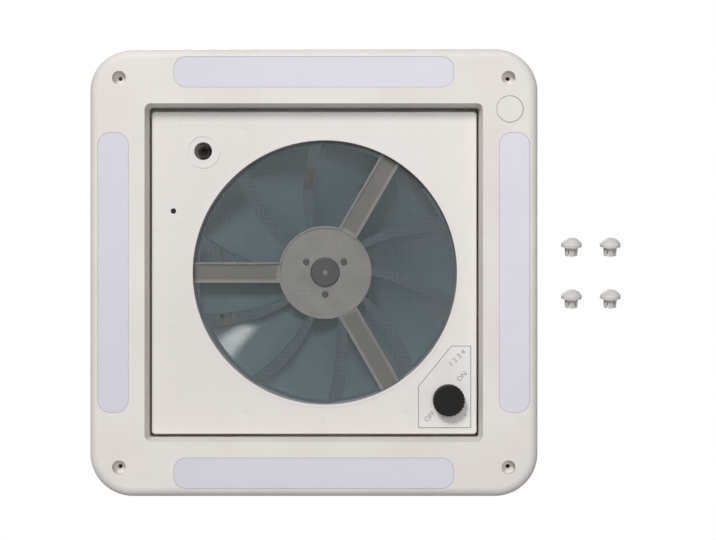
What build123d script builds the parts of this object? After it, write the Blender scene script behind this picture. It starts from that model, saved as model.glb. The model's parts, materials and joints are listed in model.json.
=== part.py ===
from build123d import *
from math import asin, atan2, ceil, cos, degrees, hypot, pi, radians, sin, sqrt
import os

# Powered caravan roof vent, in millimetres, as it sits in the roof.
# Z points to the sky and z = 0 is the outer face of the roof skin, at the centre of its cut-out.
# The lid hinges along -Y, the fan sits towards +X, and the control knob is in the +X +Y corner.

# Driving sizes: the square cut-out, the roof's thickness, and what stands above and below the roof
cutout = 400.0
roof_thickness = 40.0
trim_band = 64.0
trim_depth = 22.0
trim_corner = 50.0
panel_drop = 38.0
curb_height = 38.0
fan_offset = 12.5
blade_count = 10

# Clearances shared by many pieces
overrun = 5.0
seat_gap = 0.3
shaft_gap = 0.05
pinned_gap = 0.02
screw_gap = 0.1

# Roof base
sleeve_gap = 2.0
sleeve_wall = 3.0
sleeve_corner = 12.0
sleeve_end_gap = 2.0
flange_reach = 46.0
flange_corner = 20.0
flange_thick = 3.0
flange_seal_thick = 3.0
flange_hole_inset = 10.5
flange_hole_radius = 2.25
holes_per_side = 4
curb_reach = 8.0
curb_wall = 3.0
curb_corner = 16.0
curb_lip = 3.0
curb_lip_thick = 3.0
duct_inset = 39.5
duct_wall = 2.5
duct_top_drop = 20.0
duct_below = 20.0
deck_rib_thick = 2.5
deck_rib_depth = 9.0
deck_rib_count = 12
deck_rib_clear = 16.0

# Lid and its hinges
lid_reach = 17.0
lid_corner = 36.0
lid_wall = 3.0
lid_crown = 8.0
lid_space = 16.0
lid_skirt_drop = 20.0
lid_edge_round = 7.0
plateau_inset = 60.0
plateau_corner = 30.0
plateau_rise = 3.0
lid_rib_inset = 3.5
lid_rib_thick = 3.0
lid_rib_corner = 14.0
curb_seal_width = 7.0
curb_seal_height = 6.0
curb_seal_round = 2.5
hinge_spacing = 232.0
hinge_out = 30.5
hinge_rise = 6.0
knuckle_radius = 8.0
knuckle_width = 14.0
knuckle_gap = 0.4
ear_thick = 5.0
ear_front = 20.0
ear_back = 6.0
hinge_pin_radius = 2.5
hinge_pin_head = 4.0
hinge_pin_head_thick = 1.5
hinge_arm_height = 10.0

# Lid lift: worm on the crank spindle, sector gear, cross shaft and arm
spindle_inset_x = 60.0
spindle_inset_y = 46.0
gear_drop = 6.0
gear_space = 8.0
gear_teeth = 40
gear_width = 6.0
gear_hub_radius = 9.0
gear_tip_share = 0.86
gear_root_share = 1.07
tooth_root_share = 0.767
tooth_tip_share = 0.4
gear_reach_down = 64.0
gear_reach_up = 13.0
worm_radius = 8.0
worm_length = 21.2
worm_tip_share = 0.8
thread_root_share = 0.8
thread_tip_share = 0.48
thread_phase_share = 0.25
worm_sink = 0.5
shaft_radius = 4.0
shaft_head_radius = 6.0
shaft_head_thick = 1.5
spindle_tube_radius = 7.0
spindle_journal_radius = 5.0
spindle_top_radius = 4.0
spindle_collar_radius = 8.0
spindle_collar_thick = 2.0
hex_sides = 6
socket_across = 8.0
socket_depth = 15.0
spindle_recess = 20.0
cheek_thick = 4.0
cheek_inner_left = 13.0
cheek_inner_right = 11.0
cheek_back = 14.0
cheek_front = 11.0
housing_plate_thick = 3.0
housing_plate_margin = 5.0
housing_rise = 16.0
bridge_thick = 4.0
bridge_half = 9.0
housing_round = 4.0
housing_screw_radius = 1.75
housing_screw_head = 3.4
housing_screw_head_thick = 2.0
housing_screw_inset = 5.0
housing_screw_depth = 8.0
housing_boss_radius = 4.0
housing_boss_depth = 8.0
arm_thick = 3.0
arm_gap = 0.5
arm_root_radius = 11.0
arm_tip_radius = 7.0
arm_slot_width = 6.0
roller_y = 50.0
roller_rise = 8.0
roller_radius = 8.0
roller_width = 7.5
roller_clear = 1.3
roller_side_gap = 0.4
pin_radius = 2.5
pin_head_radius = 4.5
pin_head_thick = 1.4
rail_wall = 2.0
rail_behind = 64.0
rail_ahead = 40.0
rail_screw_inset = 9.0
stiffener_length = 240.0
stiffener_middle = 45.0
stiffener_behind = 114.5
stiffener_width = 27.0
stiffener_wall = 1.5
stiffener_drop = 15.0
stiffener_depth = 7.0
pad_length = 18.0
pad_width = 14.0
lid_screw_radius = 2.0
lid_screw_head = 3.6
lid_screw_head_thick = 1.2
lid_screw_depth = 5.0
head_round_share = 0.33

# Motor, bracket and fan
bracket_rise = 15.0
bracket_thick = 2.0
bracket_rib = 4.0
bracket_rib_thick = 2.0
plate_radius = 54.7
plate_rim = 2.0
plate_rim_thick = 2.0
arm_width = 24.0
arm_angles = (180.0, 60.0, 300.0)
arm_end_out = 17.5
arm_hole_out = 10.0
bracket_boss_radius = 8.0
bracket_screw_radius = 2.0
bracket_screw_head = 4.2
bracket_screw_head_thick = 2.0
bracket_screw_depth = 12.0
motor_radius = 31.0
motor_length = 34.0
motor_round = 4.0
end_bell_thick = 3.0
motor_boss_radius = 16.8
motor_boss_drop = 5.0
motor_boss_round = 1.5
motor_boss_gap = 0.7
motor_screw_out = 25.5
motor_screw_angles = (90.0, 210.0, 330.0)
motor_screw_radius = 2.0
motor_screw_head = 3.8
motor_screw_head_thick = 2.4
motor_shaft_radius = 3.0
motor_shaft_rise = 50.0
hub_radius = 50.0
hub_wall = 3.0
hub_rise = 8.0
hub_height = 32.0
hub_round = 6.0
hub_boss_radius = 8.0
hub_boss_height = 3.0
hub_rib_count = 5
hub_rib_thick = 2.5
hub_rib_drop = 3.0
nut_across = 10.0
nut_thick = 5.0
fan_tip_gap = 4.5
blade_rise = 23.0
blade_thick = 2.0
blade_sink = 1.2
blade_root_chord = 33.0
blade_tip_share = 0.556
blade_root_pitch = 42.0
blade_tip_pitch = 19.0
blade_camber_share = 0.07
blade_sweep = 16.3
blade_start = 16.0
blade_station_shares = (0.0, 0.3, 0.65, 1.0)

# Inner panel, screen and controls
panel_gap_x = 2.5
panel_gap_y = 4.0
panel_shift = 0.5
panel_corner = 4.0
panel_thick = 3.0
panel_skirt = 12.0
panel_skirt_wall = 2.5
panel_edge_round = 0.8
mouth_step = 0.8
lip_width = 3.0
lip_height = 0.8
pillar_side_share = 0.611
pillar_inset = 22.5
pillar_radius = 4.5
pillar_foot_radius = 7.0
pillar_foot_height = 6.0
panel_screw_radius = 1.75
panel_screw_head = 3.8
panel_screw_head_thick = 2.2
panel_screw_depth = 14.0
crank_hole_radius = 10.5
crank_ring_radius = 20.0
crank_ring_width = 3.0
crank_tube_wall = 2.0
crank_tube_depth = 24.0
small_hole_inset = 25.3
small_hole_behind = 71.9
small_hole_radius = 3.2
screen_ring_width = 7.0
screen_ring_height = 5.0
screen_wire = 2.0
screen_pitch = 19.0
screen_thick = 0.6
screen_margin = 1.0
knob_inset_x = 32.8
knob_inset_y = 39.8
knob_turned = 45.0
knob_radius = 18.5
knob_height = 15.0
knob_wall = 2.5
knob_gap = 0.6
knob_flutes = 24
knob_flute_radius = 1.1
knob_round = 1.5
knob_grip_width = 8.0
switch_side = 28.0
switch_height = 14.0
switch_round = 2.0
bushing_radius = 4.5
bushing_drop = 5.0
switch_shaft_radius = 3.0
switch_shaft_reach = 10.0
label_thick = 0.4
label_left_share = 0.6378
label_right_share = 0.9686
label_step_x_share = 0.8424
label_behind_share = 0.4503
label_step_y_share = 0.7031
label_front_share = 0.965

# Trim frame, lights and button
mouth_inset = 4.0
mouth_corner = 7.0
mouth_wall = 2.5
neck_gap = 0.3
neck_wall = 2.2
neck_height = 12.0
trim_wall = 2.5
trim_round = 11.0
corner_hole_inset = 34.4
corner_recess_radius = 8.0
corner_recess_left = 8.0
corner_hole_radius = 2.5
corner_boss_wall = 2.5
lens_end_gap = 34.0
lens_inner_margin = 18.9
lens_outer_margin = 10.1
lens_corner_share = 0.4
lens_recess = 0.3
lens_gap = 0.3
lens_wall = 2.0
lens_face = 2.5
lens_height = 11.0
lens_flange = 3.0
lens_flange_thick = 1.5
board_thick = 1.6
board_inset = 1.0
chip_side = 5.0
chip_height = 1.0
chip_count = 12
button_inset = 32.7
button_corner_inset = 6.7
button_radius = 15.3
button_gap = 0.4
button_travel = 1.5
button_recess = 0.3
button_depth = 9.5
button_flange = 1.5
button_flange_thick = 3.5
button_round = 1.2
button_wall = 2.2
button_stop = 0.5
button_seat_drop = 4.0
light_switch_radius = 9.0
light_switch_thick = 3.0

# Loose screw caps beside the trim
cap_head_radius = 12.0
cap_head_height = 10.0
cap_rim = 3.0
cap_stem_radius = 7.8
cap_stem_length = 11.0
cap_stem_wall = 1.8
cap_stem_draft = 0.6
cap_rib_radius = 0.6
cap_rib_count = 12
cap_slot_width = 1.6
cap_slot_count = 3
cap_reach = 39.6
cap_column_step = 45.2
cap_row_step = 60.2
cap_row_shift = -0.6

# Levels and places that follow from the sizes above
flange_bottom = flange_seal_thick
flange_top = flange_bottom + flange_thick
flange_side = cutout + 2 * flange_reach
flange_hole_half = flange_side / 2 - flange_hole_inset
sleeve_side = cutout - 2 * sleeve_gap
sleeve_inner = sleeve_side - 2 * sleeve_wall
sleeve_bottom = -roof_thickness + sleeve_end_gap
curb_side = cutout + 2 * curb_reach
curb_top = flange_top + curb_height
duct_radius = sleeve_inner / 2 - duct_inset
duct_top = curb_top - duct_top_drop
duct_bottom = flange_bottom - duct_below
ceiling = -roof_thickness
trim_face = ceiling - trim_depth
mouth_side = cutout - 2 * mouth_inset
trim_side = mouth_side + 2 * trim_band
neck_outer = sleeve_inner - 2 * neck_gap
neck_inner = neck_outer - 2 * neck_wall
panel_face = -panel_drop
panel_back = panel_face + panel_thick
panel_width = neck_inner - 2 * panel_gap_x
panel_length = neck_inner - 2 * panel_gap_y
panel_right = panel_width / 2
panel_front = panel_shift + panel_length / 2
mouth_radius = duct_radius - mouth_step
bracket_top = panel_back + bracket_rise
bracket_bottom = bracket_top - bracket_thick
arm_end_radius = duct_radius + arm_end_out
arm_hole_ring = duct_radius + arm_hole_out
fan_radius = duct_radius - fan_tip_gap
hub_bottom = bracket_top + hub_rise
hub_top = hub_bottom + hub_height
hub_boss_top = hub_top + hub_boss_height
blade_middle = bracket_top + blade_rise
blade_tip_chord = fan_radius * blade_tip_share
motor_shaft_top = bracket_top + motor_shaft_rise
seal_top = curb_top + curb_seal_height
lid_underside = seal_top + lid_space
lid_skirt_bottom = curb_top - lid_skirt_drop
lid_side = curb_side + 2 * lid_reach
lid_half = lid_side / 2
lid_rib_half = curb_side / 2 - lid_rib_inset
plateau_side = lid_side - 2 * plateau_inset
crown_radius = (lid_half ** 2 + lid_crown ** 2) / (2 * lid_crown)
hinge_reach = lid_half + hinge_out
hinge_height = lid_skirt_bottom + hinge_rise
spindle_x = spindle_inset_x - panel_right
spindle_y = panel_shift - panel_length / 2 + spindle_inset_y
gear_radius = curb_height - gear_space
gear_module = 2 * gear_radius / gear_teeth
gear_height = curb_top - gear_drop
gear_shaft_y = spindle_y - gear_radius - worm_radius
gear_tip = gear_radius + gear_module * gear_tip_share
gear_root = gear_radius - gear_module * gear_root_share
worm_pitch = pi * gear_module
worm_core_radius = worm_radius - gear_module * gear_root_share
housing_top = gear_height + housing_rise
cheek_right_out = spindle_x + cheek_inner_right + cheek_thick
cheek_left_out = spindle_x - cheek_inner_left - cheek_thick
arm_left = cheek_right_out + arm_gap
arm_right = arm_left + arm_thick
roller_height = gear_height + roller_rise
roller_left = arm_right + roller_side_gap
roller_right = roller_left + roller_width
rail_web_left = roller_right + roller_side_gap + pin_head_thick + roller_side_gap
rail_half = roller_radius + roller_clear
rail_top = roller_height + rail_half + rail_wall
rail_back = roller_y - rail_behind
rail_front = roller_y + rail_ahead
stiffener_left = stiffener_middle - stiffener_length / 2
stiffener_right = stiffener_middle + stiffener_length / 2
stiffener_y = -stiffener_behind
stiffener_bottom = lid_underside - stiffener_drop
knob_x = panel_right - knob_inset_x
knob_y = panel_front - knob_inset_y
small_hole_x = small_hole_inset - panel_right
small_hole_y = -small_hole_behind
corner_hole_half = trim_side / 2 - corner_hole_inset
corner_recess_depth = trim_depth - corner_recess_left
lens_length = mouth_side - 2 * lens_end_gap
lens_width = trim_band - lens_inner_margin - lens_outer_margin
lens_corner = lens_width * lens_corner_share
lens_offset = mouth_side / 2 + lens_inner_margin + lens_width / 2
button_x = trim_side / 2 - button_inset
button_y = button_corner_inset - mouth_side / 2
button_ring_top = trim_depth - button_seat_drop
cap_columns = (trim_side / 2 + cap_reach, trim_side / 2 + cap_reach + cap_column_step)
cap_rows = (cap_row_shift - cap_row_step / 2, cap_row_shift + cap_row_step / 2)


def slab(width, length, corner, bottom, top):
    # Rounded rectangle between two heights, centred on the vent
    return Pos(0, 0, bottom) * extrude(RectangleRounded(width, length, corner), top - bottom)


def frame_of(outer, inner, outer_corner, inner_corner, bottom, top):
    # Square ring between two rounded squares
    body = slab(outer, outer, outer_corner, bottom, top)
    return body - slab(inner, inner, inner_corner, bottom - overrun, top + overrun)


def post(x, y, radius, bottom, top):
    # Upright cylinder
    return Pos(x, y, bottom) * extrude(Circle(radius), top - bottom)


def tube(x, y, outer, inner, bottom, top):
    return post(x, y, outer, bottom, top) - post(x, y, inner, bottom - overrun, top + overrun)


def block(x0, x1, y0, y1, z0, z1):
    # Box between two corners
    return Pos((x0 + x1) / 2, (y0 + y1) / 2, (z0 + z1) / 2) * Box(x1 - x0, y1 - y0, z1 - z0)


def along_x(sketch, x0, x1):
    # Sketch in the YZ plane, carried from x0 to x1
    return Pos(x0, 0, 0) * extrude(Plane.YZ * sketch, x1 - x0)


def rod_x(y, z, radius, x0, x1):
    return along_x(Pos(y, z) * Circle(radius), x0, x1)


def save(shape, name):
    export_step(shape, f"parts/{name}.step")


def side_places():
    # Screw places along the four sides of the flange, corners once
    step = 2 * flange_hole_half / (holes_per_side - 1)
    rows = [-flange_hole_half + step * i for i in range(holes_per_side)]
    return [(x, y) for x in rows for y in rows if max(abs(x), abs(y)) > flange_hole_half - pinned_gap]


def pillar_places():
    reach_x = duct_radius * pillar_side_share
    reach_y = panel_length / 2 - pillar_inset
    return [(fan_offset + sx * reach_x, sy * reach_y) for sx in (-1, 1) for sy in (-1, 1)]


def fan_polar(radius, angle):
    return (fan_offset + radius * cos(radians(angle)), radius * sin(radians(angle)))


def housing_screw_places():
    x0 = cheek_left_out - housing_plate_margin - housing_screw_inset
    x1 = cheek_right_out + housing_plate_margin
    y0 = gear_shaft_y
    y1 = spindle_y + cheek_front - housing_screw_inset
    return [(x0, y0), (x0, y1), (x1, y1)]


def roof_base():
    body = slab(flange_side, flange_side, flange_corner, flange_bottom, flange_top)
    body += frame_of(curb_side, curb_side - 2 * curb_wall, curb_corner, curb_corner - curb_wall,
                     flange_top, curb_top)
    body += frame_of(curb_side + 2 * curb_lip, curb_side - 2 * curb_wall, curb_corner + curb_lip,
                     curb_corner - curb_wall, curb_top - curb_lip_thick, curb_top)
    body += frame_of(sleeve_side, sleeve_inner, sleeve_corner, sleeve_corner - sleeve_wall,
                     sleeve_bottom, flange_bottom)
    ribs = Part()
    for i in range(deck_rib_count):
        angle = 360 * (i + 1 / 2) / deck_rib_count
        reach = (sleeve_side - sleeve_wall) / 2 / max(abs(cos(radians(angle))), abs(sin(radians(angle))))
        ribs += Rot(0, 0, angle) * block(duct_radius, reach - abs(fan_offset), -deck_rib_thick / 2,
                                         deck_rib_thick / 2, flange_bottom - deck_rib_depth, flange_bottom)
    ribs -= block(spindle_x - deck_rib_clear, spindle_x + deck_rib_clear, spindle_y - deck_rib_clear,
                  spindle_y + deck_rib_clear, flange_bottom - deck_rib_depth - overrun, flange_bottom)
    body += ribs
    body += post(fan_offset, 0, duct_radius + duct_wall, duct_bottom, duct_top)
    for angle in arm_angles:
        x, y = fan_polar(arm_hole_ring, angle)
        body += post(x, y, bracket_boss_radius, bracket_top, flange_bottom)
    for x, y in housing_screw_places():
        body += post(x, y, housing_boss_radius, flange_bottom - housing_boss_depth, flange_bottom)
    body -= post(fan_offset, 0, duct_radius, bracket_top - overrun, duct_top + overrun)
    for side in (-1, 1):
        middle = side * hinge_spacing / 2
        outer = knuckle_width / 2 + knuckle_gap + ear_thick
        body += block(middle - outer, middle + outer, -hinge_reach - ear_back, -hinge_reach + ear_front,
                      flange_bottom, flange_top)
        for way in (-1, 1):
            near = middle + way * (knuckle_width / 2 + knuckle_gap)
            far = middle + way * outer
            foot = Polygon((-hinge_reach - ear_back, flange_bottom),
                           (-hinge_reach + ear_front, flange_bottom),
                           (-hinge_reach + knuckle_radius, hinge_height),
                           (-hinge_reach - knuckle_radius, hinge_height), align=None)
            ear = foot + Pos(-hinge_reach, hinge_height) * Circle(knuckle_radius)
            body += along_x(ear, min(near, far), max(near, far))
    for side in (-1, 1):
        middle = side * hinge_spacing / 2
        body -= rod_x(-hinge_reach, hinge_height, hinge_pin_radius + pinned_gap,
                      middle - knuckle_width, middle + knuckle_width)
    for x, y in side_places():
        body -= post(x, y, flange_hole_radius, -overrun, flange_top + overrun)
    for x, y in pillar_places():
        body -= post(x, y, panel_screw_radius + screw_gap, flange_bottom - overrun, flange_top + overrun)
    for angle in arm_angles:
        x, y = fan_polar(arm_hole_ring, angle)
        body -= post(x, y, bracket_screw_radius + pinned_gap, bracket_top - overrun,
                     bracket_bottom + bracket_screw_depth + seat_gap)
    for x, y in housing_screw_places():
        body -= post(x, y, housing_screw_radius + pinned_gap,
                     flange_top + housing_plate_thick - housing_screw_depth - seat_gap, flange_top + overrun)
    body -= post(spindle_x, spindle_y, spindle_collar_radius + seat_gap, flange_bottom - overrun,
                 flange_top + overrun)
    return body


def flange_seal():
    inner = sleeve_side + 2 * seat_gap
    body = frame_of(flange_side, inner, flange_corner, sleeve_corner + seat_gap, 0, flange_seal_thick)
    for x, y in side_places():
        body -= post(x, y, flange_hole_radius, -overrun, flange_seal_thick + overrun)
    return body


def curb_seal():
    outer = curb_side - 2 * curb_wall + 2 * curb_seal_width
    body = frame_of(outer, outer - 2 * curb_seal_width, curb_corner - curb_wall + curb_seal_width,
                    curb_corner - curb_wall, curb_top, seal_top)
    return fillet(body.faces().sort_by(Axis.Z)[-1].edges(), curb_seal_round)


def crown_ball(radius):
    # Ball whose top gives the lid its low crown; it is turned so that its poles lie off the lid
    return Pos(0, 0, lid_underside + lid_wall - crown_radius) * Rot(90, 0, 0) * Sphere(radius)


def lid_outer_body():
    body = slab(lid_side, lid_side, lid_corner, lid_skirt_bottom, lid_underside + lid_wall + overrun)
    body = body & crown_ball(crown_radius)
    return fillet(body.faces().sort_by(Axis.Z)[-1].edges(), lid_edge_round)


def lid():
    outer = lid_outer_body()
    hollow = slab(lid_side - 2 * lid_wall, lid_side - 2 * lid_wall, lid_corner - lid_wall,
                  lid_skirt_bottom - overrun, lid_underside + overrun) & crown_ball(crown_radius - lid_wall)
    top = lid_underside + lid_wall + plateau_rise + overrun
    plateau = slab(plateau_side, plateau_side, plateau_corner, lid_underside - lid_crown, top)
    plateau = plateau & crown_ball(crown_radius + plateau_rise)
    body = outer + plateau - hollow
    inside = frame_of(2 * lid_rib_half + lid_rib_thick, 2 * lid_rib_half - lid_rib_thick,
                      lid_rib_corner, lid_rib_corner - lid_rib_thick, seal_top + seat_gap,
                      lid_underside + lid_wall)
    for y in rail_screw_rows():
        inside += block(rail_web_left + rail_wall - pad_width, rail_web_left + rail_wall,
                        y - pad_length / 2, y + pad_length / 2, rail_top, lid_underside + lid_wall)
    for x in stiffener_screw_columns():
        inside += block(x - pad_length / 2, x + pad_length / 2, stiffener_y - pad_width / 2,
                        stiffener_y + pad_width / 2, stiffener_bottom + stiffener_wall,
                        lid_underside + lid_wall)
    body += inside & crown_ball(crown_radius - lid_wall / 2)
    for side in (-1, 1):
        middle = side * hinge_spacing / 2
        left = middle - knuckle_width / 2
        right = middle + knuckle_width / 2
        body += rod_x(-hinge_reach, hinge_height, knuckle_radius - knuckle_gap, left, right)
        body += block(left, right, -hinge_reach, -lid_half + lid_wall, hinge_height - hinge_arm_height / 2,
                      hinge_height + hinge_arm_height / 2)
        body -= rod_x(-hinge_reach, hinge_height, hinge_pin_radius + shaft_gap, left - overrun,
                      right + overrun)
    for y in rail_screw_rows():
        body -= post(rail_screw_x(), y, lid_screw_radius + pinned_gap, rail_top - overrun,
                     rail_top + lid_screw_depth + seat_gap)
    for x in stiffener_screw_columns():
        body -= post(x, stiffener_y, lid_screw_radius + pinned_gap, stiffener_bottom,
                     stiffener_bottom + stiffener_wall + lid_screw_depth + seat_gap)
    return body


def rail_screw_rows():
    return (rail_back + rail_screw_inset, rail_front - rail_screw_inset)


def rail_screw_x():
    return rail_web_left + rail_wall - pad_width / 2


def stiffener_screw_columns():
    return (stiffener_left + pad_length, stiffener_right - pad_length)


def lift_rail():
    # Channel open towards the arm, so that the roller runs between its two flanges
    half = rail_half + rail_wall
    edge = arm_right + roller_side_gap
    body = block(edge, rail_web_left + rail_wall, rail_back, rail_front, roller_height - half, rail_top)
    body -= block(edge - overrun, rail_web_left, rail_back - overrun, rail_front + overrun,
                  roller_height - rail_half, roller_height + rail_half)
    for y in rail_screw_rows():
        body -= post(rail_screw_x(), y, lid_screw_radius + screw_gap, rail_top - rail_wall - overrun,
                     rail_top + overrun)
        body -= post(rail_screw_x(), y, lid_screw_head + screw_gap, roller_height - half - overrun,
                     roller_height)
    return body


def stiffener():
    # Shallow channel across the lid
    top = stiffener_bottom + stiffener_depth
    body = block(stiffener_left, stiffener_right, stiffener_y - stiffener_width / 2,
                 stiffener_y + stiffener_width / 2, stiffener_bottom, top)
    inner = stiffener_width / 2 - stiffener_wall
    body -= block(stiffener_left - overrun, stiffener_right + overrun, stiffener_y - inner,
                  stiffener_y + inner, stiffener_bottom + stiffener_wall, top + overrun)
    for x in stiffener_screw_columns():
        body -= post(x, stiffener_y, lid_screw_radius + screw_gap, stiffener_bottom - overrun, top)
    return body


def screw(x, y, seat, shank_radius, head_radius, head_thick, depth, way):
    # Pan-head screw whose head sits at the height seat; way is the side that the shank points to
    head = post(x, y, head_radius, min(seat, seat - way * head_thick), max(seat, seat - way * head_thick))
    rim = head.faces().sort_by(Axis.Z)[0 if way > 0 else -1].edges()
    head = fillet(rim, head_thick * head_round_share)
    end = seat + way * depth
    return head + post(x, y, shank_radius, min(seat, end), max(seat, end))


def lid_screws():
    group = [screw(rail_screw_x(), y, rail_top - rail_wall, lid_screw_radius, lid_screw_head,
                   lid_screw_head_thick, lid_screw_depth + rail_wall, 1) for y in rail_screw_rows()]
    group += [screw(x, stiffener_y, stiffener_bottom, lid_screw_radius, lid_screw_head,
                    lid_screw_head_thick, lid_screw_depth + stiffener_wall, 1)
              for x in stiffener_screw_columns()]
    return Compound(group)


def hinge_pins():
    pins = []
    for side in (-1, 1):
        middle = side * hinge_spacing / 2
        half = knuckle_width / 2 + knuckle_gap + ear_thick
        near = middle - half
        pin = rod_x(-hinge_reach, hinge_height, hinge_pin_radius, near, middle + half + pin_head_thick)
        head = rod_x(-hinge_reach, hinge_height, hinge_pin_head, near - hinge_pin_head_thick, near)
        pins.append(pin + head)
    return Compound(pins)


def gear_housing():
    plate_bottom = flange_top
    plate_top = flange_top + housing_plate_thick
    back = gear_shaft_y - cheek_back
    front = spindle_y + cheek_front
    left = cheek_left_out - housing_plate_margin - 2 * housing_screw_inset
    right = cheek_right_out + housing_plate_margin + housing_screw_inset
    base = Rectangle(right - left, front - back)
    base = Pos((left + right) / 2, (front + back) / 2) * fillet(base.vertices(), housing_screw_inset)
    body = Pos(0, 0, plate_bottom) * extrude(base, housing_plate_thick)
    side = Polygon((back, plate_bottom), (front, plate_bottom), (front, housing_top),
                   (spindle_y - bridge_half, housing_top), (gear_shaft_y, gear_height + cheek_back),
                   (back, gear_height), align=None)
    side = fillet(side.vertices().sort_by(Axis.Y)[2:], housing_round)
    for x0 in (cheek_left_out, spindle_x + cheek_inner_right):
        body += along_x(side, x0, x0 + cheek_thick)
    body += block(cheek_left_out, cheek_right_out, spindle_y - bridge_half, spindle_y + bridge_half,
                  housing_top - bridge_thick, housing_top)
    body -= post(spindle_x, spindle_y, spindle_journal_radius + shaft_gap, plate_bottom - overrun,
                 plate_top + overrun)
    body -= post(spindle_x, spindle_y, spindle_top_radius + shaft_gap, housing_top - bridge_thick - seat_gap,
                 housing_top + overrun)
    body -= rod_x(gear_shaft_y, gear_height, shaft_radius + shaft_gap, cheek_left_out - overrun,
                  cheek_right_out + overrun)
    for x, y in housing_screw_places():
        body -= post(x, y, housing_screw_radius + screw_gap, plate_bottom - overrun, plate_top + overrun)
    return body


def housing_screws():
    seat = flange_top + housing_plate_thick
    return Compound([screw(x, y, seat, housing_screw_radius, housing_screw_head, housing_screw_head_thick,
                           housing_screw_depth, -1) for x, y in housing_screw_places()])


def worm_thread():
    # One right-handed thread; a space of the thread faces the gear's middle tooth at rest
    start = gear_height - worm_length / 2
    lag = (start - gear_height) / worm_pitch + thread_phase_share
    turn = 360 * (lag - int(lag))
    path = Helix(worm_pitch, worm_length, worm_radius)
    root = worm_core_radius - worm_sink - worm_radius
    tip = gear_module * worm_tip_share
    root_half = gear_module * thread_root_share
    tip_half = gear_module * thread_tip_share
    profile = Plane(origin=path @ 0, x_dir=(1, 0, 0), z_dir=path % 0) * Polygon(
        (root, -root_half), (tip, -tip_half), (tip, tip_half), (root, root_half), align=None)
    thread = sweep(profile, path=path, is_frenet=True)
    return Pos(spindle_x, spindle_y, start) * Rot(0, 0, turn) * thread


def crank_spindle():
    plate_top = flange_top + housing_plate_thick
    bottom = panel_back + spindle_recess
    worm_half = worm_length / 2 + gear_module * thread_root_share
    body = post(spindle_x, spindle_y, spindle_tube_radius, bottom, flange_top - seat_gap)
    body += post(spindle_x, spindle_y, spindle_journal_radius, bottom, gear_height)
    body += post(spindle_x, spindle_y, spindle_collar_radius, plate_top + seat_gap,
                 plate_top + seat_gap + spindle_collar_thick)
    body += post(spindle_x, spindle_y, worm_core_radius, gear_height - worm_half,
                 housing_top - bridge_thick - seat_gap)
    body += post(spindle_x, spindle_y, spindle_top_radius, gear_height, housing_top)
    body -= Pos(spindle_x, spindle_y, bottom - overrun) * extrude(
        RegularPolygon(socket_across / 2, hex_sides, major_radius=False), overrun + socket_depth)
    return body + worm_thread()


def sector_gear():
    # Hub, web between the two end angles, and straight teeth on the pitch circle
    step = 360 / gear_teeth
    low = -gear_reach_down
    fan = Polygon((0, 0), *[(2 * gear_root * cos(radians(a)), 2 * gear_root * sin(radians(a)))
                            for a in (low, low / 2, gear_reach_up)], align=None)
    sector = (fan & Circle(gear_root)) + Circle(gear_hub_radius)
    first = -int(gear_reach_down / step)
    last = int(gear_reach_up / step)
    sink = gear_root - gear_module
    root_half = gear_module * tooth_root_share
    tip_half = gear_module * tooth_tip_share
    tooth = Polygon((sink, -root_half), (gear_root, -root_half), (gear_tip, -tip_half), (gear_tip, tip_half),
                    (gear_root, root_half), (sink, root_half), align=None)
    for k in range(first, last + 1):
        sector += Rot(0, 0, k * step) * tooth
    sector -= Circle(shaft_radius + pinned_gap)
    placed = Pos(gear_shaft_y, gear_height) * sector
    return along_x(placed, spindle_x - gear_width / 2, spindle_x + gear_width / 2)


def cross_shaft():
    body = rod_x(gear_shaft_y, gear_height, shaft_radius, cheek_left_out - seat_gap, arm_right)
    return body + rod_x(gear_shaft_y, gear_height, shaft_head_radius,
                        cheek_left_out - seat_gap - shaft_head_thick, cheek_left_out - seat_gap)


def lift_arm():
    run = roller_y - gear_shaft_y
    rise = roller_height - gear_height
    length = hypot(run, rise)
    ends = (Circle(arm_root_radius), Pos(length, 0) * Circle(arm_tip_radius))
    bevel = (arm_root_radius - arm_tip_radius) / length
    across = sqrt(1 - bevel ** 2)
    flank = Polygon((arm_root_radius * bevel, -arm_root_radius * across),
                    (length + arm_tip_radius * bevel, -arm_tip_radius * across),
                    (length + arm_tip_radius * bevel, arm_tip_radius * across),
                    (arm_root_radius * bevel, arm_root_radius * across), align=None)
    outline = flank + ends[0] + ends[1]
    outline -= Pos(length / 2, 0) * SlotOverall(length / 2, arm_slot_width)
    outline -= Circle(shaft_radius + pinned_gap)
    outline -= Pos(length, 0) * Circle(pin_radius + pinned_gap)
    turned = Pos(gear_shaft_y, gear_height) * Rot(0, 0, degrees(atan2(rise, run))) * outline
    return along_x(turned, arm_left, arm_right)


def roller_pin():
    body = rod_x(roller_y, roller_height, pin_radius, arm_left, roller_right + roller_side_gap)
    body += rod_x(roller_y, roller_height, pin_head_radius, arm_left - pin_head_thick, arm_left)
    return body + rod_x(roller_y, roller_height, pin_head_radius, roller_right + roller_side_gap,
                        roller_right + roller_side_gap + pin_head_thick)


def roller():
    body = rod_x(roller_y, roller_height, roller_radius, roller_left, roller_right)
    return body - rod_x(roller_y, roller_height, pin_radius + shaft_gap, roller_left - overrun,
                        roller_right + overrun)


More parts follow.
